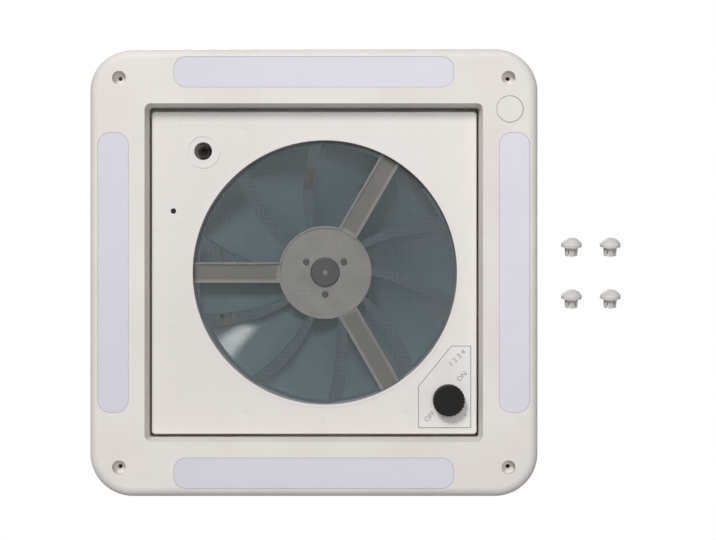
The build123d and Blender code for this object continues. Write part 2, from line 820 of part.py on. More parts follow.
def motor_bracket():
    body = post(fan_offset, 0, plate_radius, bracket_bottom, bracket_top)
    rim_bottom = bracket_bottom - plate_rim
    ribs = tube(fan_offset, 0, plate_radius, plate_radius - plate_rim_thick, rim_bottom, bracket_bottom)
    for angle in arm_angles:
        half = arm_width / 2
        turn = Pos(fan_offset, 0, 0) * Rot(0, 0, angle)
        end = arm_end_radius - half
        body += turn * (block(0, end, -half, half, bracket_bottom, bracket_top)
                        + post(end, 0, half, bracket_bottom, bracket_top))
        for way in (-1, 1):
            near = way * (half - bracket_rib_thick)
            ribs += turn * block(plate_radius - plate_rim_thick, end, min(near, way * half),
                                 max(near, way * half), bracket_bottom - bracket_rib, bracket_bottom)
    body += ribs
    body -= post(fan_offset, 0, motor_boss_radius + motor_boss_gap, bracket_bottom - overrun,
                 bracket_top + overrun)
    for x, y in motor_screw_places():
        body -= post(x, y, motor_screw_radius + screw_gap, bracket_bottom - overrun, bracket_top + overrun)
    for angle in arm_angles:
        x, y = fan_polar(arm_hole_ring, angle)
        body -= post(x, y, bracket_screw_radius + screw_gap, bracket_bottom - overrun,
                     bracket_top + overrun)
    return body


def motor_screw_places():
    return [fan_polar(motor_screw_out, angle) for angle in motor_screw_angles]


def motor_screws():
    return Compound([screw(x, y, bracket_bottom, motor_screw_radius, motor_screw_head,
                           motor_screw_head_thick, bracket_thick + end_bell_thick, 1)
                     for x, y in motor_screw_places()])


def bracket_screws():
    group = []
    for angle in arm_angles:
        x, y = fan_polar(arm_hole_ring, angle)
        group.append(screw(x, y, bracket_bottom, bracket_screw_radius, bracket_screw_head,
                           bracket_screw_head_thick, bracket_screw_depth, 1))
    return Compound(group)


def motor_end_bell():
    body = post(fan_offset, 0, motor_radius, bracket_top, bracket_top + end_bell_thick)
    boss = post(fan_offset, 0, motor_boss_radius, bracket_top - motor_boss_drop, bracket_top)
    boss = fillet(boss.faces().sort_by(Axis.Z)[0].edges(), motor_boss_round)
    body += boss
    body -= post(fan_offset, 0, motor_shaft_radius + shaft_gap, bracket_top - motor_boss_drop - overrun,
                 bracket_top + end_bell_thick + overrun)
    for x, y in motor_screw_places():
        body -= post(x, y, motor_screw_radius + pinned_gap, bracket_top - overrun,
                     bracket_top + end_bell_thick + overrun)
    return body


def motor_can():
    bottom = bracket_top + end_bell_thick
    top = bracket_top + motor_length
    body = post(fan_offset, 0, motor_radius, bottom, top)
    body = fillet(body.faces().sort_by(Axis.Z)[-1].edges(), motor_round)
    return body - post(fan_offset, 0, motor_shaft_radius + shaft_gap, bottom - overrun, top + overrun)


def motor_shaft():
    return post(fan_offset, 0, motor_shaft_radius, bracket_top - motor_boss_drop + seat_gap, motor_shaft_top)


def blade():
    # Sections stand square to the radius; pitch falls and chord grows from hub to tip
    sections = []
    root = hub_radius - blade_sink
    for share in blade_station_shares:
        radius = root + (fan_radius - root) * share
        chord = blade_root_chord + (blade_tip_chord - blade_root_chord) * share
        pitch = blade_root_pitch + (blade_tip_pitch - blade_root_pitch) * share
        sag = chord * blade_camber_share
        half = chord / 2
        lower = ThreePointArc((-half, 0), (0, sag), (half, 0))
        upper = ThreePointArc((-half, blade_thick), (0, sag + blade_thick), (half, blade_thick))
        ends = (Line(lower @ 0, upper @ 0), Line(lower @ 1, upper @ 1))
        outline = Rot(0, 0, pitch) * Pos(0, -sag / 2) * make_face([lower, upper, *ends])
        angle = blade_sweep * share
        out = Vector(cos(radians(angle)), sin(radians(angle)), 0)
        spin = (-sin(radians(angle)), cos(radians(angle)), 0)
        plane = Plane(origin=out * radius + Vector(0, 0, blade_middle), x_dir=spin, z_dir=out)
        sections.append(plane * outline)
    return loft(sections)


def fan_rotor():
    hub = post(0, 0, hub_radius, hub_bottom, hub_top)
    hub = fillet(hub.faces().sort_by(Axis.Z)[-1].edges(), hub_round)
    hub -= post(0, 0, hub_radius - hub_wall, hub_bottom - overrun, hub_top - hub_wall)
    hub += post(0, 0, hub_boss_radius, hub_top - hub_wall, hub_boss_top)
    for i in range(hub_rib_count):
        rib = block(hub_boss_radius - hub_rib_thick, hub_radius - hub_wall / 2, -hub_rib_thick / 2,
                    hub_rib_thick / 2, hub_top - hub_wall - hub_rib_drop, hub_top - hub_wall)
        hub += Rot(0, 0, 360 * i / hub_rib_count) * rib
    one = blade()
    for i in range(blade_count):
        hub += Rot(0, 0, blade_start + 360 * i / blade_count) * one
    hub &= post(0, 0, fan_radius, bracket_top, lid_underside)
    hub -= post(0, 0, hub_radius - hub_wall, hub_bottom - overrun, hub_top - hub_wall - hub_rib_drop)
    hub -= post(0, 0, motor_shaft_radius + pinned_gap, hub_bottom - overrun, hub_boss_top + overrun)
    return Pos(fan_offset, 0, 0) * hub


def hub_nut():
    nut = extrude(RegularPolygon(nut_across / 2, hex_sides, major_radius=False), nut_thick)
    nut = Pos(fan_offset, 0, hub_boss_top) * nut
    return nut - post(fan_offset, 0, motor_shaft_radius + pinned_gap, hub_boss_top - overrun,
                      hub_boss_top + nut_thick + overrun)


def inner_panel():
    middle = Pos(0, panel_shift, 0)
    top = panel_back + panel_skirt
    body = middle * slab(panel_width, panel_length, panel_corner, panel_face, top)
    body = chamfer(body.faces().sort_by(Axis.Z)[0].edges(), panel_edge_round)
    body -= middle * slab(panel_width - 2 * panel_skirt_wall, panel_length - 2 * panel_skirt_wall,
                          panel_corner - panel_skirt_wall, panel_back, top + overrun)
    body += tube(fan_offset, 0, mouth_radius + lip_width, mouth_radius, panel_face - lip_height, panel_back)
    body += tube(spindle_x, spindle_y, crank_ring_radius, crank_ring_radius - crank_ring_width,
                 panel_face - lip_height, panel_back)
    body += post(spindle_x, spindle_y, crank_hole_radius + crank_tube_wall, panel_back,
                 panel_back + crank_tube_depth)
    for x, y in pillar_places():
        body += post(x, y, pillar_radius, panel_back, flange_bottom)
        body += post(x, y, pillar_foot_radius, panel_back, panel_back + pillar_foot_height)
        body -= post(x, y, panel_screw_radius + pinned_gap,
                     flange_top - panel_screw_depth - seat_gap, flange_bottom + overrun)
    body -= post(fan_offset, 0, mouth_radius, panel_face - overrun, top)
    body -= post(spindle_x, spindle_y, crank_hole_radius, panel_face - overrun,
                 panel_back + crank_tube_depth + overrun)
    body -= post(small_hole_x, small_hole_y, small_hole_radius, panel_face - overrun, top)
    body -= post(knob_x, knob_y, bushing_radius + screw_gap, panel_face - overrun, top)
    return body


def panel_screws():
    return Compound([screw(x, y, flange_top, panel_screw_radius, panel_screw_head, panel_screw_head_thick,
                           panel_screw_depth, -1) for x, y in pillar_places()])


def screen_ring():
    outer = mouth_radius + screen_ring_width
    body = tube(fan_offset, 0, outer, mouth_radius, panel_back, panel_back + screen_ring_height)
    seat = post(fan_offset, 0, mouth_radius + screen_ring_width / 2,
                panel_back + screen_ring_height - screen_thick, panel_back + screen_ring_height + overrun)
    return body - seat


def insect_screen():
    # Net of square gaps in one sheet
    edge = mouth_radius + screen_ring_width / 2 - pinned_gap
    limit = mouth_radius - screen_margin
    gap = screen_pitch - screen_wire
    reach = ceil(limit / screen_pitch)
    places = []
    for i in range(-reach, reach + 1):
        for j in range(-reach, reach + 1):
            x = i * screen_pitch
            y = j * screen_pitch
            if hypot(abs(x) + gap / 2, abs(y) + gap / 2) < limit:
                places.append((x, y))
    net = Circle(edge) - [Pos(x, y) * Rectangle(gap, gap) for x, y in places]
    bottom = panel_back + screen_ring_height - screen_thick
    return Pos(fan_offset, 0, bottom) * extrude(net, screen_thick)


def speed_switch():
    body = Pos(knob_x, knob_y, panel_back) * extrude(
        RectangleRounded(switch_side, switch_side, switch_round), switch_height)
    body += post(knob_x, knob_y, bushing_radius, panel_face - bushing_drop, panel_back)
    return body - post(knob_x, knob_y, switch_shaft_radius + shaft_gap, panel_face - bushing_drop - overrun,
                       panel_back + switch_shaft_reach + seat_gap)


def switch_shaft():
    top = panel_back + switch_shaft_reach
    return post(knob_x, knob_y, switch_shaft_radius, knob_face() + knob_wall, top)


def knob_face():
    return panel_face - label_thick - knob_gap - knob_height


def control_knob():
    bottom = knob_face()
    top = bottom + knob_height
    body = post(0, 0, knob_radius, bottom, top)
    body = fillet(body.faces().sort_by(Axis.Z)[0].edges(), knob_round)
    for i in range(knob_flutes):
        angle = radians(360 * i / knob_flutes)
        body -= post(knob_radius * cos(angle), knob_radius * sin(angle), knob_flute_radius,
                     bottom - overrun, top - knob_wall)
    body -= tube(0, 0, knob_radius - knob_wall, bushing_radius + knob_wall / 2, bottom + 2 * knob_wall,
                 top + overrun)
    body -= post(0, 0, bushing_radius + seat_gap, panel_face - bushing_drop - seat_gap, top + overrun)
    dish = post(0, 0, knob_radius - knob_wall, bottom - overrun, bottom + knob_wall / 2)
    grip = block(-knob_radius, knob_radius, -knob_grip_width / 2, knob_grip_width / 2, bottom - overrun,
                 bottom + knob_wall)
    body -= dish - grip
    body -= post(0, 0, switch_shaft_radius + pinned_gap, bottom + knob_wall, top + overrun)
    return Pos(knob_x, knob_y, 0) * Rot(0, 0, knob_turned) * body


def label_plate():
    left = panel_right * label_left_share
    right = panel_right * label_right_share
    step_x = panel_right * label_step_x_share
    behind = panel_front * label_behind_share
    step_y = panel_front * label_step_y_share
    front = panel_front * label_front_share
    outline = Polygon((left, front), (left, step_y), (step_x, behind), (right, behind), (right, front),
                      align=None)
    body = Pos(0, 0, panel_face - label_thick) * extrude(outline, label_thick)
    return body - post(knob_x, knob_y, bushing_radius + screw_gap, panel_face - label_thick - overrun,
                       panel_face + overrun)


def lens_places():
    # Turn about Z of each bar: one per side, named by the side that it lies on
    return {"rear": 180, "front": 0, "left": 90, "right": 270}


def bar_at(shape, name):
    return Rot(0, 0, lens_places()[name]) * Pos(0, lens_offset, 0) * shape


def led_lens():
    bottom = trim_face + lens_recess
    rim = trim_face + trim_wall
    body = slab(lens_length, lens_width, lens_corner, bottom, bottom + lens_height)
    body += slab(lens_length + 2 * lens_flange, lens_width + 2 * lens_flange, lens_corner + lens_flange,
                 rim, rim + lens_flange_thick)
    return body - slab(lens_length - 2 * lens_wall, lens_width - 2 * lens_wall, lens_corner - lens_wall,
                       bottom + lens_face, bottom + lens_height + overrun)


def led_board():
    bottom = trim_face + lens_recess + lens_height
    body = slab(lens_length - 2 * board_inset, lens_width - 2 * board_inset, lens_corner - board_inset,
                bottom, bottom + board_thick)
    step = (lens_length - 2 * lens_corner) / chip_count
    for i in range(chip_count):
        x = step * (i + 1 / 2 - chip_count / 2)
        body += block(x - chip_side / 2, x + chip_side / 2, -chip_side / 2, chip_side / 2,
                      bottom - chip_height, bottom)
    return body


def trim_frame():
    outer = slab(trim_side, trim_side, trim_corner, trim_face, ceiling)
    outer = fillet(outer.faces().sort_by(Axis.Z)[0].edges(), trim_round)
    side = trim_side - 2 * trim_wall
    hollow = slab(side, side, trim_corner - trim_wall, trim_face + trim_wall, ceiling)
    hollow = fillet(hollow.faces().sort_by(Axis.Z)[0].edges(), trim_round - trim_wall)
    hollow += slab(side, side, trim_corner - trim_wall, ceiling - seat_gap, ceiling + overrun)
    wall = mouth_side + 2 * mouth_wall
    keep = slab(wall, wall, mouth_corner + mouth_wall, trim_face, ceiling + overrun)
    for sx in (-1, 1):
        for sy in (-1, 1):
            keep += post(sx * corner_hole_half, sy * corner_hole_half,
                         corner_recess_radius + corner_boss_wall, trim_face, ceiling)
    keep += post(button_x, button_y, button_ring_radius(), trim_face, trim_face + button_ring_top)
    body = outer - (hollow - keep)
    body += slab(neck_outer, neck_outer, sleeve_corner - sleeve_wall - neck_gap, ceiling - trim_wall,
                 ceiling + neck_height)
    lean = degrees(atan2((mouth_side - neck_inner) / 2, trim_depth))
    mouth = extrude(RectangleRounded(mouth_side, mouth_side, mouth_corner), trim_depth, taper=lean)
    body -= Pos(0, 0, trim_face) * mouth
    body -= slab(neck_inner, neck_inner, mouth_corner - (mouth_side - neck_inner) / 2, ceiling - seat_gap,
                 ceiling + neck_height + overrun)
    for name in lens_places():
        body -= bar_at(slab(lens_length + 2 * lens_gap, lens_width + 2 * lens_gap, lens_corner + lens_gap,
                            trim_face - overrun, trim_face + trim_wall + overrun), name)
        seat = 2 * (lens_flange + lens_gap)
        body -= bar_at(slab(lens_length + seat, lens_width + seat, lens_corner + seat / 2,
                            trim_face + trim_wall, ceiling + overrun), name)
    for sx in (-1, 1):
        for sy in (-1, 1):
            x = sx * corner_hole_half
            y = sy * corner_hole_half
            body -= post(x, y, corner_recess_radius, trim_face - overrun, trim_face + corner_recess_depth)
            body -= post(x, y, corner_hole_radius, trim_face, ceiling + overrun)
    body -= post(button_x, button_y, button_radius + button_gap, trim_face - overrun,
                 trim_face + button_ring_top + overrun)
    body -= post(button_x, button_y, button_radius + button_flange + button_gap,
                 button_flange_bottom() - seat_gap, trim_face + button_ring_top + overrun)
    return body


def button_ring_radius():
    return button_radius + button_flange + button_gap + button_wall


def button_flange_bottom():
    return trim_face + button_recess + button_depth - button_flange_thick


def light_button():
    bottom = trim_face + button_recess
    body = post(button_x, button_y, button_radius, bottom, bottom + button_depth)
    body = fillet(body.faces().sort_by(Axis.Z)[0].edges(), button_round)
    body += post(button_x, button_y, button_radius + button_flange, button_flange_bottom(),
                 bottom + button_depth)
    return body - post(button_x, button_y, button_radius - button_wall, bottom + button_wall,
                       bottom + button_depth - button_wall)


def light_switch():
    seat = trim_face + button_ring_top
    stop = trim_face + button_recess + button_depth + button_travel + button_stop
    body = post(button_x, button_y, button_ring_radius(), seat, seat + light_switch_thick)
    return body + post(button_x, button_y, light_switch_radius, stop, seat)


def screw_cap():
    # Mushroom cap on a slotted tubular stem; the head points along +Z and sits on z = 0
    crown = cap_head_height - cap_rim
    ball = (cap_head_radius ** 2 + crown ** 2) / (2 * crown)
    head = post(0, 0, cap_head_radius, 0, cap_head_height) & (
        Pos(0, 0, cap_head_height - ball) * Sphere(ball))
    end_radius = cap_stem_radius - cap_stem_draft
    body = head + Pos(0, 0, -cap_stem_length / 2) * Cone(end_radius, cap_stem_radius, cap_stem_length)
    body -= post(0, 0, end_radius - cap_stem_wall, -cap_stem_length - overrun, -cap_rim / 2)
    for i in range(cap_rib_count):
        angle = 360 * i / cap_rib_count
        body += Rot(0, 0, angle) * post(end_radius, 0, cap_rib_radius, -cap_stem_length, 0)
    for i in range(cap_slot_count):
        cut = block(-cap_stem_radius - overrun, cap_stem_radius + overrun, -cap_slot_width / 2,
                    cap_slot_width / 2, -cap_stem_length - overrun, -cap_rim)
        body -= Rot(0, 0, 180 * i / cap_slot_count) * cut
    return body


def screw_caps():
    # Each lies on its side, on the rim of its head and the end of its stem
    lean = degrees(asin((cap_head_radius - cap_stem_radius) / hypot(cap_stem_length, cap_head_radius)))
    one = Rot(90 + lean, 0, 0) * screw_cap()
    low = one.bounding_box().min.Z
    one = Pos(0, 0, trim_face - low) * one
    return Compound([Pos(x, y, 0) * one for x in cap_columns for y in cap_rows])


os.makedirs("parts", exist_ok=True)
pieces = {
    "roof_base": roof_base, "flange_seal": flange_seal, "curb_seal": curb_seal, "lid": lid,
    "hinge_pins": hinge_pins, "lift_rail": lift_rail, "lid_stiffener": stiffener,
    "lid_screws": lid_screws, "gear_housing": gear_housing, "housing_screws": housing_screws,
    "crank_spindle": crank_spindle, "sector_gear": sector_gear, "cross_shaft": cross_shaft,
    "lift_arm": lift_arm, "roller_pin": roller_pin, "roller": roller, "motor_bracket": motor_bracket,
    "motor_screws": motor_screws, "bracket_screws": bracket_screws, "motor_end_bell": motor_end_bell,
    "motor_can": motor_can, "motor_shaft": motor_shaft, "fan_rotor": fan_rotor, "hub_nut": hub_nut,
    "inner_panel": inner_panel, "panel_screws": panel_screws, "screen_ring": screen_ring,
    "insect_screen": insect_screen, "speed_switch": speed_switch, "switch_shaft": switch_shaft,
    "control_knob": control_knob, "label_plate": label_plate, "trim_frame": trim_frame,
    "light_button": light_button, "light_switch": light_switch, "screw_caps": screw_caps,
}
for name, make in pieces.items():
    save(make(), name)
for name in lens_places():
    save(bar_at(led_lens(), name), f"led_lens_{name}")
    save(bar_at(led_board(), name), f"led_board_{name}")
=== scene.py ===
import json
import math

import bpy
import numpy as np
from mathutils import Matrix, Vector


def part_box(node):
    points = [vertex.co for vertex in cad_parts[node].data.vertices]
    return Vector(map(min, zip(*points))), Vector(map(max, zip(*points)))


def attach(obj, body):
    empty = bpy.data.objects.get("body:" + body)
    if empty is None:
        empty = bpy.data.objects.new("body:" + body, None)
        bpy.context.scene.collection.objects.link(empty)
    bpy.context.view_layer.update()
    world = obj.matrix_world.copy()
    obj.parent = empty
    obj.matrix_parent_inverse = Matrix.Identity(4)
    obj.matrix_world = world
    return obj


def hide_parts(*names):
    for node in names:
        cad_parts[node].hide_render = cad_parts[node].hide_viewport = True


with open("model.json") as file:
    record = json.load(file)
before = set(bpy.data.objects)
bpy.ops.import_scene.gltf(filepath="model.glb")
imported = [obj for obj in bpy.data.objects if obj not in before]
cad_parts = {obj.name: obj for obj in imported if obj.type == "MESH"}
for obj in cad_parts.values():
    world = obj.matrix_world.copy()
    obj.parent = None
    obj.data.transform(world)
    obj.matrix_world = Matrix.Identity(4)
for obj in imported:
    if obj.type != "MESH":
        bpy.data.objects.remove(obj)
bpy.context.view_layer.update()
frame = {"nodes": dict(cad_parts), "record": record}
nodes = frame["nodes"]
scene = bpy.context.scene
mm = 0.001
print("frame loaded:", len(nodes), "nodes")

# Places that the pieces made here take from the frame
screenLow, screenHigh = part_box("insect_screen")
labelLow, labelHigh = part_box("label_plate")
motorLow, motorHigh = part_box("motor_can")
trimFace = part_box("trim_frame")[0].z
fanX = (motorLow.x + motorHigh.x) / 2

# Parts of a noise's range over which one value turns into the other
narrowEdges = (0.35, 0.65)
wideEdges = (0.3, 0.7)
# How finely each kind of noise is broken up
blotchNoise = {"detail": 3.0}
smearNoise = {"detail": 5.0, "rough": 0.6}
lineNoise = {"detail": 3.0, "rough": 0.6}
cloudNoise = {"detail": 4.0, "rough": 0.55}
waveNoise = {"detail": 1.0}


def linear(hexText):
    # sRGB hex to linear light
    shares = [int(hexText[i:i + 2], 16) / 255 for i in (0, 2, 4)]
    return [s / 12.92 if s <= 0.04045 else ((s + 0.055) / 1.055) ** 2.4 for s in shares] + [1]


def addNode(tree, kind, inputs=None, **settings):
    # One shader node; an input that is a socket is linked, any other is set on the socket
    node = tree.nodes.new("ShaderNode" + kind)
    for key, value in settings.items():
        setattr(node, key, value)
    for key, value in (inputs or {}).items():
        if isinstance(value, bpy.types.NodeSocket):
            tree.links.new(value, node.inputs[key])
        else:
            node.inputs[key].default_value = value
    return node


def mathOf(tree, operation, *values):
    return addNode(tree, "Math", dict(enumerate(values)), operation=operation).outputs["Value"]


def vectorOf(tree, operation, output, *values):
    return addNode(tree, "VectorMath", dict(enumerate(values)), operation=operation).outputs[output]


def largest(tree, values):
    total = values[0]
    for value in values[1:]:
        total = mathOf(tree, "MAXIMUM", total, value)
    return total


def newMaterial(name):
    material = bpy.data.materials.new(name)
    material.use_nodes = True
    material.node_tree.nodes.clear()
    return material, material.node_tree


def objectPoint(tree):
    return addNode(tree, "TexCoord").outputs["Object"]


def flatPoint(tree, point):
    # The same point at height 0
    return vectorOf(tree, "MULTIPLY", "Vector", point, (1, 1, 0))


def noiseOf(tree, point, sizeMm, detail=2.0, rough=0.5):
    # Noise whose blotches are about sizeMm across
    return addNode(tree, "TexNoise", {"Vector": point, "Scale": 1 / (sizeMm * mm), "Detail": detail,
                                      "Roughness": rough}).outputs["Fac"]


def ramp(tree, value, low, high, toLow=0.0, toHigh=1.0):
    return addNode(tree, "MapRange", {"Value": value, "From Min": low, "From Max": high,
                                      "To Min": toLow, "To Max": toHigh}).outputs["Result"]


def blendColours(tree, factor, first, second):
    # Sockets 0, 6 and 7 are the factor and the two colours, and output 2 is the colour
    return addNode(tree, "Mix", {0: factor, 6: first, 7: second}, data_type="RGBA").outputs[2]


def twoTones(tree, factor, look):
    return blendColours(tree, factor, linear(look["colour"]), linear(look["shade"]))


def bumpOf(tree, height, depthMm, under=None):
    inputs = {"Height": height, "Distance": depthMm * mm}
    if under is not None:
        inputs["Normal"] = under
    return addNode(tree, "Bump", inputs).outputs["Normal"]


def clearSheet(tree, tint="FFFFFF"):
    return addNode(tree, "BsdfTransparent", {"Color": linear(tint)}).outputs["BSDF"]


def mixSurfaces(tree, factor, first, second):
    return addNode(tree, "MixShader", {0: factor, 1: first, 2: second}).outputs["Shader"]


def finishSurface(tree, shader):
    addNode(tree, "OutputMaterial", {"Surface": shader})


def nearness(tree, point, places, outer):
    # 0 farther than outer from every place, rising to 1 at one of them, seen along Z
    flat = flatPoint(tree, point)
    return largest(tree, [ramp(tree, vectorOf(tree, "DISTANCE", "Value", flat, (x, y, 0)), outer, 0)
                          for x, y in places])


def moulded(name, look):
    # Moulded plastic: faint blotches in colour, smears in the gloss, moulding grain in relief
    material, tree = newMaterial(name)
    point = objectPoint(tree)
    blotch = noiseOf(tree, point, look["blotchMm"], **blotchNoise)
    smear = noiseOf(tree, point, look["smearMm"], **smearNoise)
    grain = noiseOf(tree, point, look["grainMm"])
    colour = twoTones(tree, ramp(tree, blotch, *narrowEdges), look)
    rough = ramp(tree, smear, *wideEdges, look["gloss"], look["matt"])
    normal = bumpOf(tree, grain, look["grainDepthMm"])
    if "sinkPlaces" in look:
        sink = nearness(tree, point, look["sinkPlaces"], look["sinkOuterMm"] * mm)
        normal = bumpOf(tree, mathOf(tree, "MULTIPLY", sink, sink), -look["sinkDepthMm"], normal)
    inputs = {"Base Color": colour, "Roughness": rough, "Normal": normal}
    if "shine" in look:
        inputs["Specular IOR Level"] = look["shine"]
    if "soft" in look:
        inputs["Subsurface Weight"] = look["soft"]
        inputs["Subsurface Radius"] = look["softRadius"]
        inputs["Subsurface Scale"] = look["softMm"] * mm
    if "coat" in look:
        inputs["Coat Weight"] = look["coat"]
        inputs["Coat Roughness"] = look["gloss"]
    surface = addNode(tree, "BsdfPrincipled", inputs).outputs["BSDF"]
    if "through" in look:
        surface = mixSurfaces(tree, look["through"], surface, clearSheet(tree, look["tint"]))
    finishSurface(tree, surface)
    return material


def channelMiddle(tree, point, look):
    # 1 in the floor of each bracket arm, between its folded edges and outside the motor plate:
    # where the painted shade goes
    half, soft, plate = look["armHalfMm"] * mm, look["armSoftMm"] * mm, look["plateMm"] * mm
    offset = vectorOf(tree, "SUBTRACT", "Vector", point, (fanX, 0, 0))
    floors = []
    for angle in look["armAngles"]:
        along = (math.cos(math.radians(angle)), math.sin(math.radians(angle)), 0)
        across = (-along[1], along[0], 0)
        out = vectorOf(tree, "DOT_PRODUCT", "Value", offset, along)
        side = mathOf(tree, "ABSOLUTE", vectorOf(tree, "DOT_PRODUCT", "Value", offset, across))
        floors.append(mathOf(tree, "MULTIPLY", ramp(tree, side, half, half - soft),
                             ramp(tree, out, plate, plate + soft)))
    return largest(tree, floors)


def rolledMetal(name, look):
    # Sheet or turned metal: fine drawn lines along one axis, cloudy tarnish in the gloss
    material, tree = newMaterial(name)
    point = objectPoint(tree)
    stretched = addNode(tree, "Mapping", {"Vector": point, "Scale": look["lineScale"]})
    lines = noiseOf(tree, stretched.outputs["Vector"], look["lineMm"], **lineNoise)
    cloud = noiseOf(tree, point, look["cloudMm"], **cloudNoise)
    colour = twoTones(tree, ramp(tree, cloud, *wideEdges), look)
    # Painted shade: the floor of each bracket arm is darker than its folded edges
    if "paintedShade" in look:
        colour = blendColours(tree, channelMiddle(tree, point, look), colour, linear(look["paintedShade"]))
    rough = ramp(tree, cloud, *wideEdges, look["gloss"], look["matt"])
    normal = bumpOf(tree, lines, look["lineDepthMm"])
    finishSurface(tree, addNode(tree, "BsdfPrincipled", {
        "Base Color": colour, "Metallic": look["metal"], "Roughness": rough, "Normal": normal,
    }).outputs["BSDF"])
    return material


# Moulded ASA, the trim, button, screen ring and roof base: warm white, satin, fine spark grain
trimLook = {"colour": "E8E3DE", "shade": "E3DDD8", "gloss": 0.46, "matt": 0.58, "shine": 0.3,
            "blotchMm": 90, "smearMm": 14, "grainMm": 0.7, "grainDepthMm": 0.012}
# Moulded ABS, the inner panel: a little smoother and a shade greyer than the trim
# Shallow sink marks show where its pillars stand behind the face
pillarX, pillarY = 95 * mm, 166 * mm
panelLook = {"colour": "E1DCD8", "shade": "DED9D4", "gloss": 0.26, "matt": 0.38,
             "blotchMm": 120, "smearMm": 18, "grainMm": 1.1, "grainDepthMm": 0.01,
             "sinkPlaces": [(fanX + x, y) for x in (-pillarX, pillarX)
                            for y in (-pillarY, pillarY)],
             "sinkOuterMm": 13, "sinkDepthMm": 0.5}
# Opal polycarbonate, the light lenses: lavender white, soft inside, smooth face
lensLook = {"colour": "D8D6DF", "shade": "D6D4DE", "gloss": 0.30, "matt": 0.36,
            "blotchMm": 160, "smearMm": 45, "grainMm": 2.5, "grainDepthMm": 0.003,
            "soft": 0.25, "softMm": 2, "softRadius": (1, 0.9, 0.8)}
# Polypropylene, the loose caps: waxy off-white, dull
capLook = {"colour": "D9D6D2", "shade": "D3D0CC", "gloss": 0.5, "matt": 0.62, "shine": 0.2,
           "blotchMm": 9, "smearMm": 5, "grainMm": 0.5, "grainDepthMm": 0.003}
# Moulded SAN, the fan: slate blue, glossy, with faint flow marks, and a little light comes through
fanLook = {"colour": "788D95", "shade": "72878E", "gloss": 0.10, "matt": 0.20,
           "blotchMm": 40, "smearMm": 22, "grainMm": 6, "grainDepthMm": 0.02,
           "coat": 0.4, "through": 0.16, "tint": "C4CDCF"}
# Moulded polyamide, the control knob: near black, matt crown
knobLook = {"colour": "110F0E", "shade": "171514", "gloss": 0.36, "matt": 0.52, "shine": 0.25,
            "blotchMm": 6, "smearMm": 4, "grainMm": 0.4, "grainDepthMm": 0.02}
# Glass-filled polyamide, the gear housing and the roller: natural ivory, slightly fibrous
nylonLook = {"colour": "CFCBC0", "shade": "C4BFB2", "gloss": 0.42, "matt": 0.58,
             "blotchMm": 8, "smearMm": 5, "grainMm": 0.5, "grainDepthMm": 0.03}
# Moulded polyamide, the switches: dark grey, satin
switchLook = {"colour": "262626", "shade": "2E2D2C", "gloss": 0.4, "matt": 0.55,
              "blotchMm": 7, "smearMm": 4, "grainMm": 0.5, "grainDepthMm": 0.02}
# Closed-cell foam, the seals: black, dull, open skin
foamLook = {"colour": "1F1F1F", "shade": "2B2A29", "gloss": 0.75, "matt": 0.92,
            "blotchMm": 4, "smearMm": 3, "grainMm": 0.9, "grainDepthMm": 0.12}
# Lacquered aluminium, the light boards: plain white
boardLook = {"colour": "E3E3DF", "shade": "DCDCD6", "gloss": 0.35, "matt": 0.5,
             "blotchMm": 30, "smearMm": 8, "grainMm": 0.8, "grainDepthMm": 0.005}
# Polyester film, the control label: off-white with a fine emboss
labelLook = {"colour": "E4E1DE", "shade": "E0DDD9", "gloss": 0.40, "matt": 0.52,
             "blotchMm": 20, "smearMm": 9, "grainMm": 0.3, "grainDepthMm": 0.006}
# Screen-printed ink, the marks on the label: thin mid-grey
inkLook = {"colour": "898683", "shade": "918E8B", "gloss": 0.45, "matt": 0.55,
           "blotchMm": 3, "smearMm": 2, "grainMm": 0.2, "grainDepthMm": 0.002}
# Zinc-plated steel, the screws, pins, lift arm, rail and stiffener: pale, with faint drawn lines
zincLook = {"colour": "B5B1A8", "shade": "9C978C", "metal": 1.0, "gloss": 0.28, "matt": 0.46,
            "cloudMm": 9, "lineMm": 0.4, "lineScale": (1, 6, 1), "lineDepthMm": 0.008}
# Galvanised sheet, the motor bracket: warm grey, dull
# The floor of its arms carries painted shade: darker between the brighter folded edges
bracketLook = {"colour": "ABA6A1", "shade": "A19C97", "metal": 0.6, "gloss": 0.45, "matt": 0.6,
               "cloudMm": 22, "lineMm": 0.6, "lineScale": (1, 5, 1), "lineDepthMm": 0.01,
               "paintedShade": "857F79", "armAngles": (180, 60, 300), "armHalfMm": 9.5, "armSoftMm": 2,
               "plateMm": 56}
# Dark zinc, the motor's can and end bell: dark grey with cloudy gloss
motorLook = {"colour": "5F5B57", "shade": "524F4B", "metal": 0.8, "gloss": 0.36, "matt": 0.5,
             "cloudMm": 8, "lineMm": 0.5, "lineScale": (1, 1, 5), "lineDepthMm": 0.01}
# Turned brass, the sector gear and the switch shaft: warm yellow with fine turning lines
brassLook = {"colour": "BFA268", "shade": "A78B54", "metal": 1.0, "gloss": 0.25, "matt": 0.4,
             "cloudMm": 6, "lineMm": 0.3, "lineScale": (6, 1, 1), "lineDepthMm": 0.008}
# Brass darkened as painted shade, the worm spindle: dark brown that stands for the shade down the
# crank hole
paintedShadeSpindleLook = {"colour": "3A332B", "shade": "29241F", "metal": 0.4, "gloss": 0.4, "matt": 0.55,
               "cloudMm": 5, "lineMm": 0.3, "lineScale": (6, 1, 1), "lineDepthMm": 0.008}
# Smoked polycarbonate, the lid: dark blue-grey sheet that lets part of the light through
smokedLook = {"body": "3A474C", "tint": "9CA7AB", "cover": 0.22, "ior": 1.45,
              "gloss": 0.06, "matt": 0.16, "smearMm": 30, "waveMm": 60, "waveDepthMm": 0.05}


